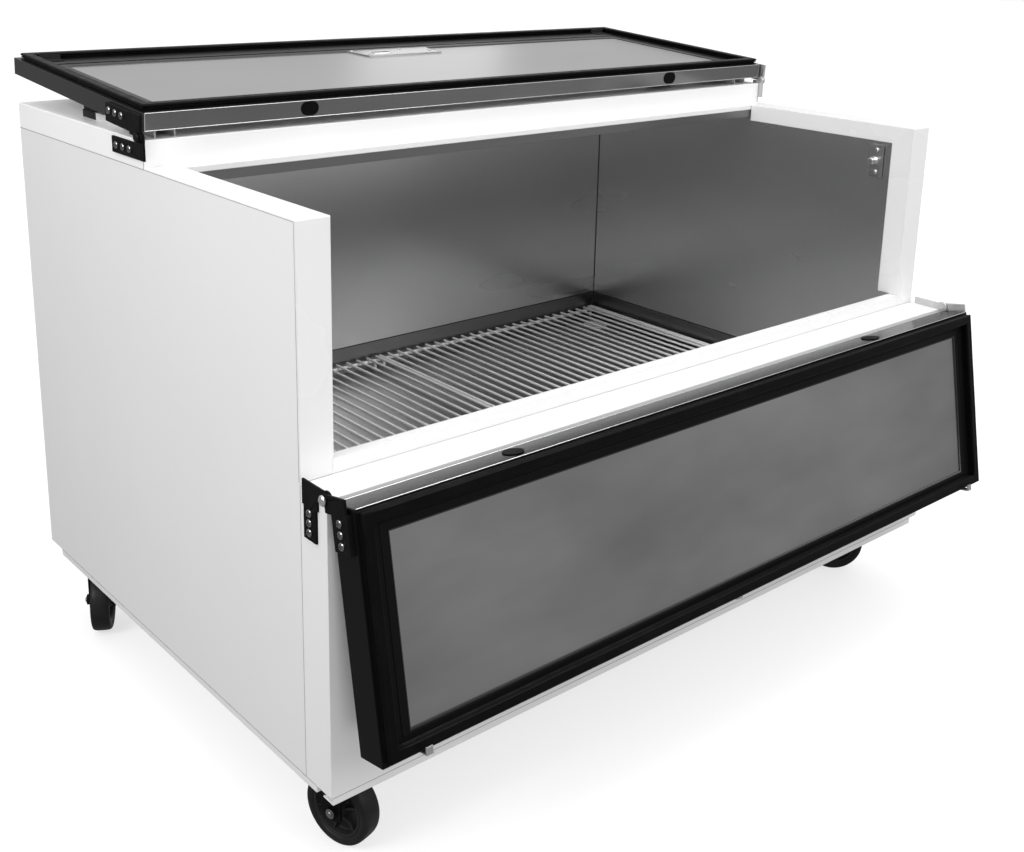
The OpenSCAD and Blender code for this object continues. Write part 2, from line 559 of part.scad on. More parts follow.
module lid_foam() color([0.93, 0.88, 0.62]) lid_frame_of() difference() {
  bx([-L_x+3, 1.5, 1.5], [L_x-3, lid_d-3, 20]);
  for (s = [-1, 1]) translate([s*plug_x, 8, 13]) rotate([90, 0, 0]) linear_extrude(9) obround(25.9, 17.9);
}
// gasket of four strips mitred at the corners
module gasket_ring(x0, u0, x1, u1, z, h) translate([0, 0, z]) {
  w = 15; g = 0.02;
  for (s = [0, 1]) linear_extrude(h) {
    if (s == 0) {
      polygon([[x0+g, u0], [x1-g, u0], [x1-w-g, u0+w], [x0+w+g, u0+w]]);
      polygon([[x0+g, u1], [x1-g, u1], [x1-w-g, u1-w], [x0+w+g, u1-w]]);
    } else {
      polygon([[x0, u0+g], [x0, u1-g], [x0+w, u1-w-g], [x0+w, u0+w+g]]);
      polygon([[x1, u0+g], [x1, u1-g], [x1-w, u1-w-g], [x1-w, u0+w+g]]);
    }
  }
}
module lid_gasket() color([0.05, 0.05, 0.05]) lid_frame_of()
  gasket_ring(-L_x+4, 7, L_x-4, 420, lid_t, lid_gasket_h);
module lid_plates() color([0.78, 0.78, 0.78]) lid_frame_of() {
  // centre keeper with its slot, and a small plate at each free corner
  difference() {
    translate([0, 0, 22]) linear_extrude(2.5) polygon([[-78, 349], [-66, 297], [92, 300], [92, 349]]);
    translate([0, 0, 21]) linear_extrude(7) translate([-27, 318]) square([30, 9], center = true);
  }
  for (p = [[-72, 343], [-60, 303], [30, 343], [80, 320]]) translate([p[0], p[1], 24.5-e]) screw_head(7, 2);
  both() {
    bx([-L_x+26, 402, lid_t], [-L_x+58, 404, lid_t+8]);
    bx([-L_x+26, 386, lid_t], [-L_x+58, 404, lid_t+1.5]);
  }
}
module lid_leaves() color([0.10, 0.10, 0.11]) lid_frame_of() both() difference() {
  union() {
    // plate on the end of the lid, with the arm to the pin standing outside the base leaf
    bx([-hw-3.41, 28, 4], [-L_x, 94, 22]);
    bx([-hw-6.6, 4, -3], [-hw-3.4, 94, 22]);
    bx([-hw-6.6, -lid_cy-6, -lid_cz], [-hw-3.4, 22, 24]);
    translate([-hw-6.6, -lid_cy, -lid_cz]) rotate([0, 90, 0]) cylinder(d = 15, h = 3.2);
  }
  rod([-hw-8, -lid_cy, -lid_cz], 10, pin_d+0.1, "x");
}
module lid_screws() color([0.72, 0.72, 0.72]) lid_frame_of() both()
  for (y = [45, 64, 83]) translate([-hw-6.6, y, 13]) rotate([0, -90, 0]) screw_head(10, 3);

// ---------------------------------------------------------------- door, in its own frame
// z = along the door from the hinge edge, y = from the outer skin to the inner side
D_x = hw-end_gap; D_in = 41; D_u0 = 34; D_u1 = 270;
dplug_x = 374; lock_v = 30;
module door_skin() color([0.68, 0.69, 0.70]) door_frame_of()
  bx([-D_x+3, 0, 1.5], [D_x-3, 1.5, door_h-3]);
module door_rail() color([0.78, 0.79, 0.80]) door_frame_of() difference() {
  union() {
    bx([-D_x+3, 0, 0], [D_x-3, door_t, 1.5]);
    bx([-D_x+3, door_t-1.5, 1.5-e], [D_x-3, door_t, 5]);
  }
  for (s = [-1, 1]) translate([s*dplug_x, 21, -1]) linear_extrude(4) circle(d = 26);
}
module door_plugs() color([0.06, 0.06, 0.06]) door_frame_of() for (s = [-1, 1]) translate([s*dplug_x, 21, 0]) {
  cylinder(d = 25.8, h = 8);
  translate([0, 0, -1.2]) cylinder(d = 28, h = 1.2);
}
module door_frame_whole() door_frame_of() {
  for (s = [-1, 1]) bx([s*D_x, 0, 0], [s*(D_x-3), door_t, door_h]);
  bx([-D_x+3-e, 0, door_h-3], [D_x-3+e, door_t, door_h]);
  difference() {
    bx([-D_x+3-e, door_t-4.5, 1.5], [D_x-3+e, door_t, door_h-3+e]);
    bx([-D_x+D_in, door_t-6, D_u0], [D_x-D_in, door_t+1, D_u1]);
    bx([-D_x+3, door_t-1.5, 0], [D_x-3, door_t+1, 5]);
  }
}
module door_frame() color([0.10, 0.10, 0.11]) difference() {
  door_frame_whole();
  door_frame_of() rod([0, lock_v, door_h-5], 10, 17, "z");
}
module door_panel() color([0.62, 0.63, 0.64]) door_frame_of()
  bx([-D_x+D_in, door_t-4.5, D_u0], [D_x-D_in, door_t-2.5, D_u1]);
module door_foam() color([0.93, 0.88, 0.62]) door_frame_of() difference() {
  bx([-D_x+3, 1.5, 1.5], [D_x-3, door_t-4.5, door_h-3]);
  for (s = [-1, 1]) translate([s*dplug_x, 21, 0]) cylinder(d = 25.8, h = 8);
  rod([0, lock_v, door_h-40], 38, 17, "z");
}
module door_gasket() color([0.05, 0.05, 0.05]) door_frame_of() translate([0, door_t, 0]) rotate([-90, 0, 0]) mirror([0, 1, 0])
  gasket_ring(-D_x+4, 3, D_x-4, door_h-hook_u-2, 0, door_gasket_h);
// bent hooks near the ends of the free edge
module door_hooks() color([0.80, 0.80, 0.80]) door_frame_of() both() {
  u = door_h-hook_u;
  bx([-D_x+47, door_t, u-2], [-D_x+57, door_t+hook_v, u]);
  bx([-D_x+47, door_t+hook_v-2, u-10], [-D_x+57, door_t+hook_v, u]);
}
module door_leaves() color([0.10, 0.10, 0.11]) door_frame_of() both() difference() {
  union() {
    bx([-hw-3.41, 8, 6], [-D_x, 40, 52]);
    bx([-hw-6.6, 8, 6], [-hw-3.4, 40, 52]);
    bx([-hw-6.6, -door_cy, -door_cz-7.5], [-hw-3.4, 38, 10]);
    translate([-hw-6.6, -door_cy, -door_cz]) rotate([0, 90, 0]) cylinder(d = 15, h = 3.2);
  }
  rod([-hw-8, -door_cy, -door_cz], 10, pin_d+0.1, "x");
}
module door_screws() color([0.72, 0.72, 0.72]) door_frame_of() both()
  for (z = [17, 30, 43]) translate([-hw-6.6, 24, z]) rotate([0, -90, 0]) screw_head(10, 3);

// key lock in the free edge of the door: body and plate, and the plug that turns in it
module door_lock() color([0.75, 0.75, 0.75]) door_frame_of() difference() {
  union() {
    rod([0, lock_v, door_h-38], 38+e, 16.8, "z");
    translate([0, 0, door_h]) linear_extrude(1.5) rrect(-30, lock_v-9, 30, lock_v+9, 4);
    rod([0, lock_v, door_h+1.5-e], 3.5, 20, "z");
  }
  rod([0, lock_v, door_h-20], 30, 13.1, "z");
}
module lock_cam() color([0.82, 0.82, 0.82]) door_frame_of() difference() {
  rod([0, lock_v, door_h-19.5], 25, 13, "z");
  bx([-1, lock_v-4, door_h-8], [1, lock_v+4, door_h+8]);
}

side_panel_left();
side_panel_right();
front_panel();
back_panel();
rear_grille();
rear_cap();
base_frame();
breaker_sides();
breaker_cross();
liner_sides();
liner_back();
liner_ceiling();
floor_pan();
floor_drain();
cabinet_foam();
evaporator_coil();
strike_plates();
lid_rest();
hinge_bases();
hinge_pins();
cabinet_screws();
compressor();
condenser();
fan_motor();
fan_blades();
refrigerant_lines();
cord_gland();
caster_plates();
rack_left();
rack_right();
lid_skin();
lid_frame();
lid_rail();
lid_panel();
lid_foam();
lid_gasket();
lid_plugs();
lid_plates();
lid_leaves();
lid_screws();
door_skin();
door_frame();
door_rail();
door_panel();
door_foam();
door_gasket();
door_plugs();
door_hooks();
door_leaves();
door_screws();
door_lock();
lock_cam();
caster_fork_fl();
caster_fork_fr();
caster_fork_rl();
caster_fork_rr();
caster_wheel_fl();
caster_wheel_fr();
caster_wheel_rl();
caster_wheel_rr();
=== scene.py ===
import bpy, bmesh, math, json
from mathutils import Vector, Matrix, Euler


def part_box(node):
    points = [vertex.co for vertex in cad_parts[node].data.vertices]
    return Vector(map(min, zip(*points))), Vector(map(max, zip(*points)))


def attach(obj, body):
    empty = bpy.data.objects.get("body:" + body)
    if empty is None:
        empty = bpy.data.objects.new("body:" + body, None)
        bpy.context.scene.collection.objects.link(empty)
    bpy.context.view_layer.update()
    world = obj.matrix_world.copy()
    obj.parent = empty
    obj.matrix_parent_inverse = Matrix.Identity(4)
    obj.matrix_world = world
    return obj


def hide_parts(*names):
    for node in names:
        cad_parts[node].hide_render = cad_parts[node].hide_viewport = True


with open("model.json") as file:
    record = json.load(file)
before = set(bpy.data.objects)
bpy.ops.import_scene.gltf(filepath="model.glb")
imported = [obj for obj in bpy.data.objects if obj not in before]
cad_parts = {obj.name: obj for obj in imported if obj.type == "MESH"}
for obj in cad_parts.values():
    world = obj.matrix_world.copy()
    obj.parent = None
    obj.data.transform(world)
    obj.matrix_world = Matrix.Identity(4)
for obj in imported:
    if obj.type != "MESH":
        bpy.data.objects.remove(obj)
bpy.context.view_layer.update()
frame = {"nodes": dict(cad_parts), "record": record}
N = frame["nodes"]
REC = frame["record"]
scene = bpy.context.scene

# ------------------------------------------------------------------ layout, metres
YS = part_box("breaker_sides")[0][1]   # wall fronts, cabinet frame to row frame
HW = 0.6225
def P(x, y, z):
    """A point in the cabinet's own frame (wall fronts at y 0), in the row frame."""
    return Vector((x, y + YS, z))

LID = Matrix.Translation(P(0, 0.368, 0.863)) @ Matrix.Rotation(math.radians(4.2), 4, "X") @ Matrix.Translation((0, 0.002, 0.006))
DOOR = Matrix.Translation(P(0, -0.060, 0.5164)) @ Matrix.Rotation(math.radians(169.7), 4, "X") @ Matrix.Translation((0, 0.004, 0.0046))

# ------------------------------------------------------------------ material helpers
def new_mat(name):
    m = bpy.data.materials.new(name)
    m.use_nodes = True
    nt = m.node_tree
    nt.nodes.clear()
    out = nt.nodes.new("ShaderNodeOutputMaterial")
    bsdf = nt.nodes.new("ShaderNodeBsdfPrincipled")
    nt.links.new(bsdf.outputs[0], out.inputs[0])
    tc = nt.nodes.new("ShaderNodeTexCoord")
    return m, nt, bsdf, tc.outputs["Object"]

def noise(nt, co, scale, detail=4, rough=0.55, stretch=None, dist=0.0):
    if stretch:
        mp = nt.nodes.new("ShaderNodeMapping")
        mp.inputs["Scale"].default_value = stretch
        nt.links.new(co, mp.inputs["Vector"])
        co = mp.outputs[0]
    n = nt.nodes.new("ShaderNodeTexNoise")
    n.inputs["Scale"].default_value = scale
    n.inputs["Detail"].default_value = detail
    n.inputs["Roughness"].default_value = rough
    n.inputs["Distortion"].default_value = dist
    nt.links.new(co, n.inputs["Vector"])
    return n.outputs["Fac"]

def ramp(nt, fac, a, b, lo=0.0, hi=1.0):
    """fac from lo..hi mapped to a..b, clamped."""
    r = nt.nodes.new("ShaderNodeMapRange")
    r.inputs["From Min"].default_value = lo
    r.inputs["From Max"].default_value = hi
    r.inputs["To Min"].default_value = a
    r.inputs["To Max"].default_value = b
    nt.links.new(fac, r.inputs["Value"])
    return r.outputs["Result"]

def mix_rgb(nt, fac, a, b):
    m = nt.nodes.new("ShaderNodeMix")
    m.data_type = "RGBA"
    if isinstance(fac, (int, float)):
        m.inputs[0].default_value = fac
    else:
        nt.links.new(fac, m.inputs[0])
    for i, c in ((6, a), (7, b)):
        if isinstance(c, (tuple, list)):
            m.inputs[i].default_value = (*c, 1.0) if len(c) == 3 else c
        else:
            nt.links.new(c, m.inputs[i])
    return m.outputs[2]

def math_node(nt, op, a, b=None):
    m = nt.nodes.new("ShaderNodeMath")
    m.operation = op
    for i, v in enumerate((a, b)):
        if v is None:
            continue
        if isinstance(v, (int, float)):
            m.inputs[i].default_value = v
        else:
            nt.links.new(v, m.inputs[i])
    return m.outputs[0]

def bump(nt, height, strength, dist, normal=None):
    b = nt.nodes.new("ShaderNodeBump")
    b.inputs["Strength"].default_value = strength
    b.inputs["Distance"].default_value = dist
    nt.links.new(height, b.inputs["Height"])
    if normal is not None:
        nt.links.new(normal, b.inputs["Normal"])
    return b.outputs[0]

def soft_edge(nt, radius):
    b = nt.nodes.new("ShaderNodeBevel")
    b.samples = 4
    b.inputs["Radius"].default_value = radius
    return b.outputs[0]

def grey(v):
    return (v, v, v)

def paint(name, base, rough=0.35, edge=0.0012, peel=0.0, tint=0.02, coat=0.0, spec=0.5):
    """Enamel or powder coat: slight colour drift, orange peel, rounded edges."""
    m, nt, bsdf, co = new_mat(name)
    big = noise(nt, co, 5.0, 3)
    dark = tuple(c * (1 - tint * 2) for c in base)
    nt.links.new(mix_rgb(nt, ramp(nt, big, 0, 1, 0.2, 0.85), base, dark), bsdf.inputs["Base Color"])
    smudge = noise(nt, co, 6.0, 2, 0.5)
    nt.links.new(ramp(nt, smudge, rough - 0.04, rough + 0.05, 0.1, 0.9), bsdf.inputs["Roughness"])
    n = soft_edge(nt, edge) if edge else None
    if peel:
        n = bump(nt, noise(nt, co, 110.0, 1), peel, 0.0003, n)
    if n is not None:
        nt.links.new(n, bsdf.inputs["Normal"])
    bsdf.inputs["Coat Weight"].default_value = coat
    bsdf.inputs["Coat Roughness"].default_value = 0.15
    bsdf.inputs["Specular IOR Level"].default_value = spec
    return m

def steel(name, base, rough, grain=(1.0, 1.0, 60.0), grain_scale=9.0, streak=0.06, edge=0.0010, bumpiness=0.05, cloud=0.05, cloud_scale=3.0, rvar=0.04, fade=None):
    """Brushed stainless: fine grain along one direction, faint clouds and smudges, and optionally painted shade
    darkening the tone along x.
    """
    m, nt, bsdf, co = new_mat(name)
    bsdf.inputs["Metallic"].default_value = 1.0
    g = noise(nt, co, grain_scale, 3 if bumpiness >= 0.004 else 1, 0.5, grain)
    c = noise(nt, co, cloud_scale, 3, 0.55, (0.45, 1.0, 1.0))
    v = mix_rgb(nt, ramp(nt, g, 0, 1, 0.1, 0.9), tuple(b * (1 - streak) for b in base), tuple(min(1, b * (1 + streak)) for b in base))
    v2 = mix_rgb(nt, ramp(nt, c, 0, 1, 0.25, 0.75), grey(1 - cloud), grey(1.0))
    mul = nt.nodes.new("ShaderNodeMix"); mul.data_type = "RGBA"; mul.blend_type = "MULTIPLY"; mul.inputs[0].default_value = 1.0
    nt.links.new(v, mul.inputs[6]); nt.links.new(v2, mul.inputs[7])
    tone = mul.outputs[2]
    if fade:                                     # painted shade: tone darkens along x, standing in for light falling off along the length
        sp = nt.nodes.new("ShaderNodeSeparateXYZ")
        nt.links.new(co, sp.inputs[0])
        painted_shade_mul = nt.nodes.new("ShaderNodeMix"); painted_shade_mul.data_type = "RGBA"; painted_shade_mul.blend_type = "MULTIPLY"; painted_shade_mul.inputs[0].default_value = 1.0
        nt.links.new(tone, painted_shade_mul.inputs[6])
        nt.links.new(ramp(nt, sp.outputs["X"], fade[2], fade[3], fade[0], fade[1]), painted_shade_mul.inputs[7])
        tone = painted_shade_mul.outputs[2]
    nt.links.new(tone, bsdf.inputs["Base Color"])
    r1 = ramp(nt, g, rough - rvar, rough + rvar, 0.1, 0.9)
    r2 = ramp(nt, c, -rvar, rvar * 1.5, 0.2, 0.8)
    nt.links.new(math_node(nt, "ADD", r1, r2), bsdf.inputs["Roughness"])
    n = soft_edge(nt, edge) if edge else None
    n = bump(nt, noise(nt, co, 5.0, 1), bumpiness * 3, 0.002, n)
    if bumpiness >= 0.004:
        n = bump(nt, g, bumpiness, 0.0004, n)
    nt.links.new(n, bsdf.inputs["Normal"])
    return m

def rubber(name, base, rough=0.55, edge=0.0006, dust=0.04, spec=0.2):
    m, nt, bsdf, co = new_mat(name)
    bsdf.inputs["Specular IOR Level"].default_value = spec
    d = noise(nt, co, 26.0, 6, 0.65)
    nt.links.new(mix_rgb(nt, ramp(nt, d, 0, 1, 0.5, 0.85), base, tuple(c + dust for c in base)), bsdf.inputs["Base Color"])
    nt.links.new(ramp(nt, noise(nt, co, 60.0, 4), rough - 0.08, rough + 0.12, 0.3, 0.7), bsdf.inputs["Roughness"])
    n = soft_edge(nt, edge) if edge else None
    nt.links.new(bump(nt, noise(nt, co, 900.0, 2), 0.12, 0.0003, n), bsdf.inputs["Normal"])
    return m

def coat_or_bare(name, base, rough=0.42, bare_below=None):
    """Black powder coat on the left-hand parts; the right-hand ones show bare steel."""
    m, nt, bsdf, co = new_mat(name)
    sp = nt.nodes.new("ShaderNodeSeparateXYZ")
    nt.links.new(co, sp.inputs[0])
    side = ramp(nt, sp.outputs["X"], 0, 1, -0.05, 0.05)
    if bare_below:
        side = math_node(nt, "MAXIMUM", side, ramp(nt, sp.outputs["Z"], 1, 0, bare_below - 0.005, bare_below + 0.005))
    g = noise(nt, co, 40.0, 5, 0.6, (30, 1, 1))
    bare = mix_rgb(nt, ramp(nt, g, 0, 1, 0.3, 0.7), grey(0.50), grey(0.66))
    d = noise(nt, co, 30.0, 4)
    black = mix_rgb(nt, ramp(nt, d, 0, 1, 0.4, 0.8), base, tuple(c * 1.8 for c in base))
    nt.links.new(mix_rgb(nt, side, black, bare), bsdf.inputs["Base Color"])
    nt.links.new(math_node(nt, "MULTIPLY", side, 0.85), bsdf.inputs["Metallic"])
    nt.links.new(ramp(nt, noise(nt, co, 90.0, 3), rough - 0.06, rough + 0.08, 0.3, 0.7), bsdf.inputs["Roughness"])
    bsdf.inputs["Specular IOR Level"].default_value = 0.05
    nt.links.new(bump(nt, noise(nt, co, 500.0, 2), 0.06, 0.0004, soft_edge(nt, 0.0006)), bsdf.inputs["Normal"])
    return m

M = {}
M["white_paint"] = paint("white_enamel", (0.72, 0.72, 0.72), 0.30, 0.0016, 0.02, 0.012, 0.15, 0.35)
M["white_breaker"] = paint("white_moulding", (0.79, 0.79, 0.79), 0.26, 0.0020, 0.0, 0.01, 0.1, 0.35)
M["galvanised"] = steel("galvanised_sheet", grey(0.62), 0.42, (1, 1, 1), 26.0, 0.10, 0.001, 0.05, 0.10, 20.0)
M["liner_steel"] = steel("satin_liner", grey(0.70), 0.27, (0.5, 0.5, 3.0), 6.0, 0.006, 0.0010, 0.003, 0.05, 2.2, 0.004)
M["polished_rail"] = steel("bright_rail", grey(0.15), 0.22, (0.6, 60.0, 60.0), 7.0, 0.03, 0.0008, 0.006, 0.35, 4.0, 0.012)
M["outer_steel"] = steel("outer_skin", grey(0.58), 0.30, (0.6, 40.0, 40.0), 6.0, 0.012, 0.0010, 0.003, 0.05, 2.2, 0.008)
M["insulation"] = paint("foam", (0.80, 0.70, 0.42), 0.8, 0.0, 0.3, 0.05)
M["copper"] = steel("copper_tube", (0.72, 0.36, 0.20), 0.3)
M["small_steel"] = steel("stainless_fittings", grey(0.62), 0.26, (60, 1, 1), 9.0, 0.05, 0.0004)
M["key_plug"] = steel("key_plug_metal", grey(0.65), 0.18, (1, 1, 1), 200.0, 0.05, 0.0003)
M["screws"] = steel("dark_screws", grey(0.30), 0.16, (1, 1, 1), 60.0, 0.08, 0.0003, 0.01)
M["pins"] = coat_or_bare("pin_finish", grey(0.006), 0.28, 0.70)
M["leaf_paint"] = coat_or_bare("leaf_finish", grey(0.004))
M["black_frame"] = paint("black_moulding", grey(0.005), 0.36, 0.0012, 0.02, 0.1, 0.0, 0.06)
M["gasket"] = rubber("soft_gasket", grey(0.0025), 0.34, 0.0008, 0.003, 0.06)
M["plug_plastic"] = paint("plug_black", grey(0.004), 0.45, 0.0006, 0.0, 0.02, 0.0, 0.04)
M["rest_block"] = paint("rest_rail", grey(0.28), 0.5, 0.0006)
M["drain_plastic"] = paint("drain", (0.70, 0.70, 0.69), 0.4, 0.0005)
M["gland_plastic"] = paint("gland", grey(0.02), 0.5, 0.0005)
M["compressor_paint"] = paint("compressor_black", grey(0.015), 0.35, 0.001)
M["condenser_metal"] = steel("condenser_fins", grey(0.35), 0.45)
M["motor_paint"] = paint("motor_dark", grey(0.05), 0.4, 0.001)
M["fan_metal"] = steel("fan_blade_metal", grey(0.6), 0.35)
M["rack_coat"] = paint("coated_wire", (0.98, 0.98, 0.975), 0.36, 0.0, 0.0, 0.006, 0.45, 0.8)
M["caster_plate"] = paint("caster_plate_black", grey(0.004), 0.45, 0.0008, 0.0, 0.05, 0.0, 0.04)
M["fork_black"] = paint("fork_black_coat", grey(0.004), 0.40, 0.0008, 0.03, 0.05, 0.0, 0.06)
M["wheel_rubber"] = rubber("wheel_rubber", grey(0.010), 0.45, 0.0008, 0.010, 0.18)
# finishes of single parts, under the same slots
front_paint = paint("front_enamel", (0.74, 0.74, 0.74), 0.30, 0.0016, 0.03, 0.012, 0.15, 0.35)
cap_paint = paint("deck_enamel", (0.82, 0.82, 0.82), 0.30, 0.0016, 0.03, 0.012, 0.15, 0.35)
door_sheet = steel("door_liner", grey(0.44), 0.33, (0.6, 40.0, 40.0), 6.0, 0.015, 0.0008, 0.003, 0.34, 6.0, 0.012)
lid_sheet = steel("lid_liner", grey(0.50), 0.33, (0.6, 40.0, 40.0), 6.0, 0.010, 0.0008, 0.003, 0.08, 2.2, 0.008)
rail_lid = steel("lid_rail_steel", grey(0.36), 0.20, (0.6, 60.0, 60.0), 7.0, 0.03, 0.0008, 0.006, 0.5, 4.0, 0.012)
core_plastic = paint("wheel_core", grey(0.016), 0.42, 0.0006, 0.0, 0.05, 0.0, 0.2)
sealant = rubber("joint_sealant", grey(0.030), 0.6, 0.0, 0.02, 0.1)
seam_line = rubber("panel_joint", grey(0.30), 0.7, 0.0, 0.03, 0.1)
bezel_black = paint("bezel_black", grey(0.010), 0.22, 0.0, 0.0, 0.05, 0.0, 0.5)
lid_black = paint("lid_moulding", grey(0.014), 0.34, 0.0012, 0.02, 0.1, 0.0, 0.35)
def plate_finish():
    """Bare steel keeper in the middle, black corner plates."""
    m, nt, bsdf, co = new_mat("keeper_finish")
    sp = nt.nodes.new("ShaderNodeSeparateXYZ")
    nt.links.new(co, sp.inputs[0])
    far = ramp(nt, math_node(nt, "ABSOLUTE", sp.outputs["X"]), 0, 1, 0.30, 0.31)
    g = noise(nt, co, 12.0, 4, 0.6, (1, 40, 40))
    bare = mix_rgb(nt, ramp(nt, g, 0, 1, 0.3, 0.7), grey(0.42), grey(0.48))
    nt.links.new(mix_rgb(nt, far, bare, grey(0.02)), bsdf.inputs["Base Color"])
    nt.links.new(ramp(nt, far, 1.0, 0.0), bsdf.inputs["Metallic"])
    nt.links.new(ramp(nt, g, 0.20, 0.28, 0.3, 0.7), bsdf.inputs["Roughness"])
    bsdf.inputs["Specular IOR Level"].default_value = 0.1
    nt.links.new(bump(nt, noise(nt, co, 60.0, 2), 0.01, 0.0003, soft_edge(nt, 0.0004)), bsdf.inputs["Normal"])
    return m
bright_lip = steel("bright_lip", grey(0.80), 0.20, (0.6, 60.0, 60.0), 7.0, 0.06, 0.0, 0.01, 0.1, 6.0, 0.02)
# painted shade: a darker copy of the polished rail steel, its tone fading from 1.10 at x -0.6 to 0.40 at x +0.6,
# standing in for the rail's reflection dimming towards the right
door_rail_painted_shade_steel = steel("door_rail_painted_shade_steel", grey(0.10), 0.22, (0.6, 60.0, 60.0), 7.0, 0.03, 0.0008, 0.006, 0.20, 4.0, 0.012, (-0.6, 0.6, 1.10, 0.40))
# painted shade: the ceiling is a darker copy of the satin liner steel, standing in for shade on the underside of the
# deck
ceiling_steel_painted_shade = steel("ceiling_steel_painted_shade", grey(0.26), 0.30, (0.6, 40.0, 40.0), 6.0, 0.01, 0.0008, 0.003, 0.08, 2.2, 0.01)
def rest_finish():
    """Painted rail in front, black rubber block behind."""
    m, nt, bsdf, co = new_mat("rest_finish")
    sp = nt.nodes.new("ShaderNodeSeparateXYZ")
    nt.links.new(co, sp.inputs[0])
    far = ramp(nt, sp.outputs["Y"], 0, 1, YS + 0.566, YS + 0.5675)
    d = noise(nt, co, 18.0, 3)
    pale = mix_rgb(nt, ramp(nt, d, 0, 1, 0.2, 0.8), grey(0.52), grey(0.58))
    nt.links.new(mix_rgb(nt, far, pale, grey(0.010)), bsdf.inputs["Base Color"])
    nt.links.new(ramp(nt, noise(nt, co, 30.0, 3), 0.42, 0.55, 0.2, 0.8), bsdf.inputs["Roughness"])
    bsdf.inputs["Specular IOR Level"].default_value = 0.1
    nt.links.new(bump(nt, noise(nt, co, 90.0, 2), 0.02, 0.0003, soft_edge(nt, 0.0006)), bsdf.inputs["Normal"])
    return m
# painted shade: the floor pan is a darker copy of the satin liner steel, standing in for the dimmer light on the pan
pan_steel_painted_shade = steel("floor_pan_steel", grey(0.23), 0.30, (0.6, 60.0, 0.6), 6.0, 0.01, 0.0010, 0.003, 0.08, 2.2, 0.01)
OWN = {"liner_ceiling": ceiling_steel_painted_shade, "floor_pan": pan_steel_painted_shade, "lid_rest": rest_finish(), "door_rail": door_rail_painted_shade_steel, "lid_frame": lid_black, "lid_plates": plate_finish(), "front_panel": front_paint, "rear_cap": cap_paint, "door_panel": door_sheet, "lid_panel": lid_sheet,
       "lid_rail": rail_lid}

slot_of = {s["node"]: s["material_slot"] for s in REC["subparts"]}
for name, o in N.items():
    m = OWN.get(name, M[slot_of[name]])
    for ms in o.material_slots:
        ms.material = m
    if not o.material_slots:
        o.data.materials.append(m)

# ------------------------------------------------------------------ softened edges on the sheet metal and mouldings
def round_edges(names, width, segments=2, angle=50):
    for n in names:
        o = N[n]
        w = o.modifiers.new("weld", "WELD")
        w.merge_threshold = 1e-6
        bv = o.modifiers.new("round", "BEVEL")
        bv.width = width
        bv.segments = segments
        bv.limit_method = "ANGLE"
        bv.angle_limit = math.radians(angle)
        bv.use_clamp_overlap = True

round_edges(["front_panel", "side_panel_left", "side_panel_right", "rear_cap", "breaker_sides", "base_frame"], 0.0009)
round_edges(["lid_frame", "door_frame"], 0.0012)
round_edges(["hinge_bases", "lid_leaves", "door_leaves", "door_hooks", "strike_plates", "lid_plates"], 0.0005)

# ------------------------------------------------------------------ mesh helpers
def piece(name, verts, faces, mat, body, xf=None, smooth=40, weld=0.0):
    if xf is not None:
        verts = [xf @ Vector(v) for v in verts]
    me = bpy.data.meshes.new(name)
    me.from_pydata([tuple(v) for v in verts], [], faces)
    bm = bmesh.new()
    bm.from_mesh(me)
    if weld:
        bmesh.ops.remove_doubles(bm, verts=bm.verts, dist=weld)
    bmesh.ops.recalc_face_normals(bm, faces=bm.faces)
    bm.to_mesh(me)
    bm.free()
    if smooth:
        for p_ in me.polygons:
            p_.use_smooth = True
        me.set_sharp_from_angle(angle=math.radians(smooth))
    me.materials.append(mat)
    o = bpy.data.objects.new(name, me)
    scene.collection.objects.link(o)
    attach(o, body)
    return o

def add_box(verts, faces, a, b):
    """An axis-aligned box from corner a to corner b, added to the lists."""
    k = len(verts)
    for x in (a[0], b[0]):
        for y in (a[1], b[1]):
            for z in (a[2], b[2]):
                verts.append((x, y, z))
    faces += [(k, k + 1, k + 3, k + 2), (k + 4, k + 6, k + 7, k + 5), (k, k + 4, k + 5, k + 1),
              (k + 2, k + 3, k + 7, k + 6), (k, k + 2, k + 6, k + 4), (k + 1, k + 5, k + 7, k + 3)]

def add_prism(verts, faces, poly, place):
    """poly: points (p, q); place(p, q, t) with t 0 or 1 gives the 3-D point. A closed prism."""
    k, n = len(verts), len(poly)
    for t in (0, 1):
        for p_, q_ in poly:
            verts.append(place(p_, q_, t))
    for i in range(n):
        j = (i + 1) % n
        faces.append((k + i, k + j, k + n + j, k + n + i))
    faces.append(tuple(k + i for i in range(n)))
    faces.append(tuple(k + n + i for i in reversed(range(n))))

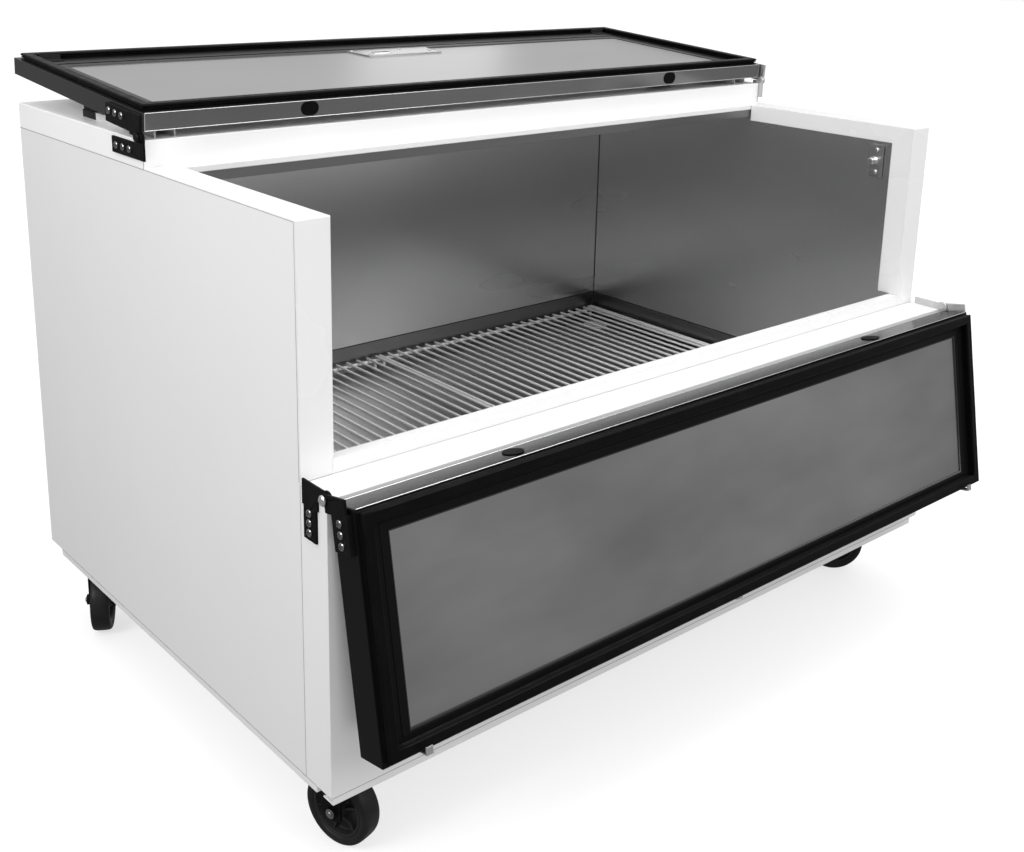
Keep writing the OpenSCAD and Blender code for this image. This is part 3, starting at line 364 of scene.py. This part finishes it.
def ring(rect, profile, steps=(1, 1), wave=0.0):
    """A closed profile (a outward, h up) carried round a rectangle with mitred corners, millimetres."""
    x0, u0, x1, u1 = rect
    corners = [(x0, u0, -1, -1), (x1, u0, 1, -1), (x1, u1, 1, 1), (x0, u1, -1, 1)]
    outs = [(0, -1), (1, 0), (0, 1), (-1, 0)]
    path = []
    for k in range(4):
        a, b = corners[k], corners[(k + 1) % 4]
        path.append((a[0], a[1], a[2], a[3], 0.0))
        n = steps[k % 2]
        for j in range(1, n):
            t = j / n
            x, u = a[0] + (b[0] - a[0]) * t, a[1] + (b[1] - a[1]) * t
            d = math.sin(x * 0.031 + u * 0.047 + k) * 0.6 + math.sin(x * 0.083 + u * 0.11 + 2 * k) * 0.4
            fade = min(1.0, 6 * t, 6 * (1 - t))
            path.append((x, u, outs[k][0], outs[k][1], wave * d * fade))
    verts, faces, n = [], [], len(profile)
    hmax = max(h for _, h in profile)
    for x, u, ox, ou, d in path:
        for a_, h in profile:
            lift = d * (h / hmax if hmax else 0)
            verts.append((x + (a_ + lift) * ox, u + (a_ + lift) * ou, h))
    m = len(path)
    for i in range(m):
        i2 = (i + 1) % m
        for j in range(n):
            j2 = (j + 1) % n
            faces.append((i * n + j, i * n + j2, i2 * n + j2, i2 * n + j))
    return verts, faces

def lid_pts(verts, z0=0.0):
    return [LID @ Vector((x / 1000, u / 1000, (h + z0) / 1000)) for x, u, h in verts]

def door_pts(verts, v0=0.0):
    return [DOOR @ Vector((x / 1000, (h + v0) / 1000, u / 1000)) for x, u, h in verts]

# ------------------------------------------------------------------ gaskets: flange, bellows and magnet bulb
def gasket_profile(H):
    k = H / 10.0
    half = [(7.3, 0.0), (7.4, 1.0), (6.2, 1.6), (4.6, 2.2), (4.4, 3.0), (5.6, 3.4), (6.7, 3.9), (7.1, 4.5), (6.6, 5.1), (5.5, 5.5),
            (6.6, 5.9), (7.2, 6.6), (7.4, 7.5), (7.2, 8.5), (6.5, 9.4), (5.4, 9.9), (4.2, 10.0), (2.2, 9.82)]
    return [(a, h * k) for a, h in half] + [(0.0, 9.75 * k)] + [(-a, h * k) for a, h in reversed(half)]

v, f = ring((-610.5, 14.5, 610.5, 412.5), gasket_profile(9.9), (60, 20), 0.25)
o = piece("lid_gasket_bulb", lid_pts(v, 24.5), f, M["gasket"], "lid", smooth=55)
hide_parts("lid_gasket")
v, f = ring((-610.5, 10.5, 610.5, 286.5), gasket_profile(10.9), (60, 14), 0.25)
o = piece("door_gasket_bulb", door_pts(v, 44.0), f, M["gasket"], "door", smooth=55)
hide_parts("door_gasket")

# ------------------------------------------------------------------ rounded bezels down to the inner panels
bez = [(0.0, 0.0), (0.0, 2.42), (-0.5, 2.45), (-1.3, 2.2), (-2.0, 1.6), (-2.5, 0.8), (-2.7, 0.0)]
v, f = ring((-577.0, 55.0, 577.0, 350.0), bez)
piece("lid_bezel", lid_pts(v, 22.0), f, bezel_black, "lid", smooth=60)
v, f = ring((-580.5, 34.0, 580.5, 270.0), bez)
piece("door_bezel", door_pts(v, 41.5), f, bezel_black, "door", smooth=60)
# shallow mitred step round the frame between gasket and bezel
step = [(0.0, 0.0), (0.0, 0.55), (-0.5, 0.9), (-1.4, 0.9), (-1.9, 0.55), (-1.9, 0.0)]
v, f = ring((-590.0, 42.0, 590.0, 363.0), step)
piece("lid_frame_rib", lid_pts(v, 24.5), f, M["black_frame"], "lid", smooth=50)
v, f = ring((-592.0, 24.0, 592.0, 273.5), [(a, h) for a, h in step])
piece("door_frame_rib", door_pts(v, 44.0), f, M["black_frame"], "door", smooth=50)

# ------------------------------------------------------------------ folded lips along the bright rails
def bead(axis_pts, r, n=8):
    """A thin round bead between two points along x: (x0, p, q) to (x1, p, q)."""
    x0, x1, p0, q0 = axis_pts
    v_, f_ = [], []
    add_prism(v_, f_, [(r * math.cos(2 * math.pi * i / n), r * math.sin(2 * math.pi * i / n)) for i in range(n)],
              lambda a, b, t: (x0 + (x1 - x0) * t, p0 + a, q0 + b))
    return v_, f_

def join(parts):
    V, F = [], []
    for v_, f_ in parts:
        k = len(V)
        V += v_
        F += [tuple(i + k for i in q) for q in f_]
    return V, F

v, f = join([bead((-618.6, 618.6, 0.0, 0.7), 0.5), bead((-618.6, 618.6, 0.0, 23.9), 0.4)])
add_box(v, f, (-619.0, -0.6, 0.2), (-617.6, 0.3, 24.2))
add_box(v, f, (617.6, -0.6, 0.2), (619.0, 0.3, 24.2))
piece("lid_rail_lip", lid_pts(v), f, bright_lip, "lid", smooth=50)
v, f = join([bead((-618.6, 618.6, 0.0, 0.8), 0.5), bead((-618.6, 618.6, 0.0, 43.2), 0.5)])
piece("door_rail_lip", door_pts([(x, u, h) for x, u, h in v]), f, bright_lip, "door", smooth=50)
# black inlay in the keeper's slot, painted shade standing in for the dark hole, with its raised rim
v, f = [], []
add_box(v, f, (-41.4, 314.0, 22.02), (-12.6, 322.0, 23.3))
piece("keeper_slot_painted_shade", lid_pts(v), f, M["gasket"], "lid", smooth=0)
v, f = ring((-42.0, 313.5, -12.0, 322.5), [(0.0, 0.0), (0.0, 0.9), (0.6, 1.2), (1.3, 0.9), (1.6, 0.0)])
piece("keeper_rim", lid_pts(v, 24.5), f, bright_lip, "lid", smooth=50)

# ------------------------------------------------------------------ sealant in the steel joints
IX, LY, SZ, CZ, FZ = 0.5785, 0.746, 0.366, 0.800, 0.318
T = 0.0016
v, f = [], []
for s_ in (-1, 1):
    # upright rear corner, above and beside the floor pan's turned-up edge
    add_prism(v, f, [(0, 0), (T, 0), (T * 0.35, T * 0.35), (0, T)],
              lambda p, q, t, s_=s_: P(s_ * (IX - p), LY - q, SZ + t * (CZ - SZ)))
    add_prism(v, f, [(0, 0), (T, 0), (T * 0.35, T * 0.35), (0, T)],
              lambda p, q, t, s_=s_: P(s_ * (IX - 0.0015 - p), LY - 0.0015 - q, FZ + t * (SZ - FZ)))
    # along the top of the pan's side edges
    add_prism(v, f, [(0, 0), (0.0019, 0), (0.0008, 0.0008), (0, 0.0016)],
              lambda p, q, t, s_=s_: P(s_ * (IX - p), 0.016 + t * (LY - 0.016), SZ + q))
add_prism(v, f, [(0, 0), (0.0019, 0), (0.0008, 0.0008), (0, 0.0016)],
          lambda p, q, t: P(-IX + 0.002 + t * (2 * IX - 0.004), LY - p, SZ + q))
piece("liner_sealant", v, f, sealant, "cabinet", smooth=0)

# ------------------------------------------------------------------ joint lines between the white sheets
v, f = [], []
g, d = 0.0004, 0.00018
for s_ in (-1, 1):
    xa, xb = s_ * (HW - 0.0004), s_ * (HW + d)
    add_box(v, f, P(xa, -0.023, 0.1246), P(xb, 0.754, 0.1254))       # over the side rail
    add_box(v, f, P(xa, -0.0004, 0.126), P(xb, 0.0004, 0.5125))      # side sheet to front sheet
    add_box(v, f, P(xa, 0.369, 0.8196), P(xb, 0.797, 0.8204))        # deck cap
    add_box(v, f, P(xa, 0.3686, 0.8208), P(xb, 0.3694, 0.857))
    add_box(v, f, P(xa, 0.0016, 0.514), P(xb, 0.0024, 0.8195))       # white frame to side sheet
    add_box(v, f, P(xa, 0.0024, 0.8196), P(xb, 0.369, 0.8202))
    add_box(v, f, P(s_ * IX, -d, 0.5126), P(s_ * HW, 0.0004, 0.5134))  # wall front to ledge
add_box(v, f, P(-0.6195, -0.0562, 0.1246), P(0.602, -0.0558, 0.1254))  # toe lip
piece("sheet_joints", v, f, seam_line, "cabinet", smooth=0)

# ------------------------------------------------------------------ caster wheels: tyre, ribbed core, zinc axle ends
def lathe(profile, seg, verts, faces):
    k, n = len(verts), len(profile)
    for i in range(seg):
        t = 2 * math.pi * i / seg
        for r, w in profile:
            verts.append((r * math.cos(t), w, r * math.sin(t)))
    for i in range(seg):
        i2 = (i + 1) % seg
        for j in range(n):
            j2 = (j + 1) % n
            faces.append((k + i * n + j, k + i2 * n + j, k + i2 * n + j2, k + i * n + j2))

def rim_round(pts):
    return pts + [(r, -w) for r, w in reversed(pts)]

tyre = rim_round([(38.2, 0.0), (38.2, 12.4), (39.2, 13.6), (41.0, 14.6), (44.0, 15.0), (47.0, 14.8), (48.8, 13.9), (50.0, 12.2),
                  (50.7, 9.5), (50.95, 6.0), (51.0, 2.5)])[:-0 or None]
tyre = [p_ for i, p_ in enumerate(tyre) if i == 0 or p_ != tyre[i - 1]]
core = [(5.2, 0.0), (5.2, 16.0), (9.8, 16.0), (11.6, 15.4), (12.4, 13.6), (12.8, 4.4), (14.2, 3.0), (32.0, 2.4), (33.8, 3.6),
        (34.6, 11.6), (35.4, 13.0), (36.6, 13.4), (38.1, 13.2), (38.3, 0.0)]
core = core + [(r, -w) for r, w in reversed(core) if w > 0.01]
CAST = {"fl": (-0.5705, 0.040, -75), "fr": (0.5705, 0.040, 135), "rl": (-0.5705, 0.714, -120), "rr": (0.5705, 0.714, 70)}
for key, (cx_, cy_, ang) in CAST.items():
    th = math.radians(ang)
    C = P(cx_ + 0.030 * math.cos(th), cy_ + 0.030 * math.sin(th), 0.051)
    xf = Matrix.Translation(C) @ Matrix.Rotation(th, 4, "Z") @ Matrix.Scale(0.001, 4)
    v, f = [], []
    lathe(tyre, 96, v, f)
    o = piece("tyre_" + key, v, f, M["wheel_rubber"], "wheel_" + key, xf, 40, 1e-7)
    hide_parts("caster_wheel_" + key)
    v, f = [], []
    lathe(core, 72, v, f)
    for i in range(6):
        t = math.pi * i / 3 + 0.3
        c_, s_ = math.cos(t), math.sin(t)
        for sg in (-1, 1):
            # tapered rib from hub to rim
            prof = [(12.3, 2.6), (34.2, 2.6), (34.2, 9.8), (24.0, 8.2), (12.3, 12.0)]
            k = len(v)
            for q in (-1.4, 1.4):
                for r, w in prof:
                    v.append((r * c_ - q * s_, sg * w, r * s_ + q * c_))
            n = len(prof)
            for j in range(n):
                j2 = (j + 1) % n
                f.append((k + j, k + j2, k + n + j2, k + n + j))
            f.append(tuple(k + j for j in range(n)))
            f.append(tuple(k + n + j for j in reversed(range(n))))
    piece("wheel_core_" + key, v, f, core_plastic, "wheel_" + key, xf, 35, 1e-7)
    v, f = [], []
    for sg in (-1, 1):
        lathe([(0.01, sg * 24.0), (4.0, sg * 24.0), (4.0, sg * 26.6), (3.4, sg * 27.4), (0.01, sg * 27.8)], 24, v, f)
        lathe([(4.2, sg * 25.0), (6.6, sg * 25.0), (6.6, sg * 25.5), (6.0, sg * 25.8), (4.2, sg * 25.8)], 24, v, f)
    piece("axle_end_" + key, v, f, M["screws"], "caster_" + key, xf, 35, 1e-6)

# ------------------------------------------------------------------ stage
def plane_mesh(name, x0, y0, x1, y1, z):
    me = bpy.data.meshes.new(name)
    me.from_pydata([(x0, y0, z), (x1, y0, z), (x1, y1, z), (x0, y1, z)], [], [(0, 1, 2, 3)])
    o = bpy.data.objects.new(name, me)
    scene.collection.objects.link(o)
    return o

floor = plane_mesh("studio_floor", -30, -30, 30, 30, 0.0)
mf, nt, bsdf, co = new_mat("studio_floor_paint")
nt.links.new(mix_rgb(nt, ramp(nt, noise(nt, co, 0.7, 2), 0, 1, 0.4, 0.6), grey(0.33), grey(0.35)), bsdf.inputs["Base Color"])
nt.links.new(ramp(nt, noise(nt, co, 4.0, 3), 0.75, 0.85, 0.3, 0.7), bsdf.inputs["Roughness"])
bsdf.inputs["Specular IOR Level"].default_value = 0.1
bsdf.inputs["Emission Color"].default_value = (1, 1, 1, 1)
bsdf.inputs["Emission Strength"].default_value = 0.66
floor.data.materials.append(mf)
# the paper sweep only shows to the camera; the room itself lights the cooler from below
floor.visible_diffuse = False
floor.visible_glossy = False

# a pale wall far behind, all the way round
v, f, nseg = [], [], 48
for i in range(nseg):
    t = 2 * math.pi * i / nseg
    for z_ in (0.0, 12.0):
        v.append((24.0 * math.cos(t), 24.0 * math.sin(t), z_))
for i in range(nseg):
    j = (i + 1) % nseg
    f.append((2 * i, 2 * j, 2 * j + 1, 2 * i + 1))
me = bpy.data.meshes.new("studio_wall")
me.from_pydata(v, [], f)
wall = bpy.data.objects.new("studio_wall", me)
scene.collection.objects.link(wall)
mw, nt, bsdf, co = new_mat("studio_wall_paint")
nt.links.new(mix_rgb(nt, ramp(nt, noise(nt, co, 0.3, 2), 0, 1, 0.4, 0.6), grey(0.28), grey(0.30)), bsdf.inputs["Base Color"])
nt.links.new(ramp(nt, noise(nt, co, 2.0, 3), 0.75, 0.85, 0.3, 0.7), bsdf.inputs["Roughness"])
bsdf.inputs["Emission Color"].default_value = (1, 1, 1, 1)
bsdf.inputs["Emission Strength"].default_value = 0.80
me.materials.append(mw)
for ray in ("visible_diffuse", "visible_glossy", "visible_shadow", "visible_transmission"):
    setattr(wall, ray, False)

world = bpy.data.worlds.new("studio")
scene.world = world
world.use_nodes = True
wn = world.node_tree
bg = wn.nodes["Background"]
wtc = wn.nodes.new("ShaderNodeTexCoord")
sep = wn.nodes.new("ShaderNodeSeparateXYZ")
wn.links.new(wtc.outputs["Generated"], sep.inputs[0])
# a pale room: brighter overhead, dimmer low down, and a little dimmer to the left (-x) than to the right
wramp = wn.nodes.new("ShaderNodeValToRGB")
wn.links.new(ramp(wn, sep.outputs["Z"], 0.0, 1.0, -1.0, 1.0), wramp.inputs[0])
cr = wramp.color_ramp
cr.interpolation = "EASE"
SKY = [(0.0, 0.36), (0.42, 0.40), (0.62, 0.50), (0.80, 1.20), (0.92, 1.7), (1.0, 2.3)]
cr.elements[0].position, cr.elements[0].color = SKY[0][0], (*grey(SKY[0][1]), 1)
cr.elements[1].position, cr.elements[1].color = SKY[-1][0], (*grey(SKY[-1][1]), 1)
for pos, val in SKY[1:-1]:
    e_ = cr.elements.new(pos)
    e_.color = (*grey(val), 1)
wx = ramp(wn, sep.outputs["X"], 0.70, 1.02, -1.0, 1.0)
wmul = wn.nodes.new("ShaderNodeMix"); wmul.data_type = "RGBA"; wmul.blend_type = "MULTIPLY"; wmul.inputs[0].default_value = 1.0
wn.links.new(wramp.outputs[0], wmul.inputs[6])
wn.links.new(wx, wmul.inputs[7])
wn.links.new(wmul.outputs[2], bg.inputs[0])
bg.inputs[1].default_value = 1.0

def area(name, loc, target, size, power):
    d_ = bpy.data.lights.new(name, "AREA")
    d_.shape = "SQUARE"
    d_.size = size
    d_.energy = power
    o_ = bpy.data.objects.new(name, d_)
    scene.collection.objects.link(o_)
    o_.location = loc
    o_.rotation_euler = (Vector(target) - Vector(loc)).to_track_quat("-Z", "Y").to_euler()
    o_.visible_camera = False
    return o_

area("key_left", (-2.8, -0.4, 2.2), (0.0, -0.1, 2.1), 1.2, 60)
area("key_front_right", (1.5, -3.2, 2.7), (0.0, 0.0, 0.5), 2.2, 65)
fill = area("fill_low", (-1.5, -2.7, 0.45), (-0.5, 0.0, 0.3), 1.0, 15)
fill.visible_glossy = False
area("back_card", P(1.94, 3.07, 1.60), P(0.0, 0.6, 0.9), 0.6, 1.15)

# ------------------------------------------------------------------ camera
cam_d = bpy.data.cameras.new("photo_camera")
cam = bpy.data.objects.new("photo_camera", cam_d)
scene.collection.objects.link(cam)
scene.camera = cam
yaw, pitch, roll = (math.radians(v) for v in (41.022, 14.993, 1.348))
f_px, cy_px = 1284.2, 270.0
fw = Vector((math.sin(yaw) * math.cos(pitch), math.cos(yaw) * math.cos(pitch), -math.sin(pitch)))
right = Vector((math.cos(yaw), -math.sin(yaw), 0.0))
up = right.cross(fw)
r_ = right * math.cos(roll) + up * math.sin(roll)
u_ = up * math.cos(roll) - right * math.sin(roll)
rot = Matrix((r_, u_, -fw)).transposed()
cam.matrix_world = Matrix.Translation(P(-1.3338, -1.1787, 1.1356)) @ rot.to_4x4()
cam_d.sensor_width = 36.0
cam_d.lens = 36.0 * f_px / 1024
cam_d.shift_y = (cy_px - 426.0) / 1024
cam_d.clip_start, cam_d.clip_end = 0.05, 100

scene.view_settings.view_transform = "Standard"
scene.view_settings.look = "None"
scene.view_settings.exposure = 0.0
scene.view_settings.gamma = 1.0
